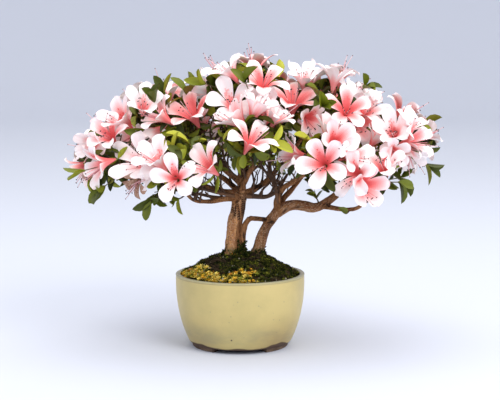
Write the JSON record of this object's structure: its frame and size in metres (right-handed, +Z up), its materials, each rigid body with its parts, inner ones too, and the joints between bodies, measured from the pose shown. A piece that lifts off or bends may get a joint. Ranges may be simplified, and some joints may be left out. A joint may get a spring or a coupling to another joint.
{
  "type": "potted azalea bonsai",
  "caption": "Small azalea bonsai in full bloom, white and pink flowers over leaning tapering trunks, growing from a mossy mound in a round pale green glazed pot on feet.",
  "frame": {"origin": "middle of the whole plant's box seen from above, at the level of the pot's feet", "axes": "+Z up, +X to the right along the crown's length when seen from the front, -Y towards the front"},
  "size_m": [0.4496, 0.2722, 0.3388],
  "materials": {
    "glaze": "satin",
    "soil": "matte",
    "bark": "matte",
    "blossom": "matte"
  },
  "bodies": {
    "root": {"pot": "glaze", "mossy_soil": "soil", "trunk_left": "bark", "trunk_right": "bark", "arch_stem": "bark", "arch_bridge": "bark", "bough_right_low": "bark", "bough_leader": "bark", "bough_left_low": "bark", "bough_left_tip": "bark", "bough_top_right": "bark", "bough_left_top": "bark", "bough_right_front": "bark", "bough_right_tip": "bark", "bough_centre_front": "bark", "bough_back_left": "bark", "bough_back_centre": "bark", "bough_back_right": "bark", "blossom_right_front": "blossom", "blossom_left_front": "blossom", "blossom_left_tip": "blossom", "blossom_top_centre": "blossom", "blossom_top_right": "blossom", "blossom_left_top": "blossom", "blossom_right_shoulder": "blossom", "blossom_right_low": "blossom", "blossom_centre_front": "blossom", "blossom_back_left": "blossom", "blossom_back_centre": "blossom", "blossom_back_right": "blossom"}
  },
  "joints": []
}
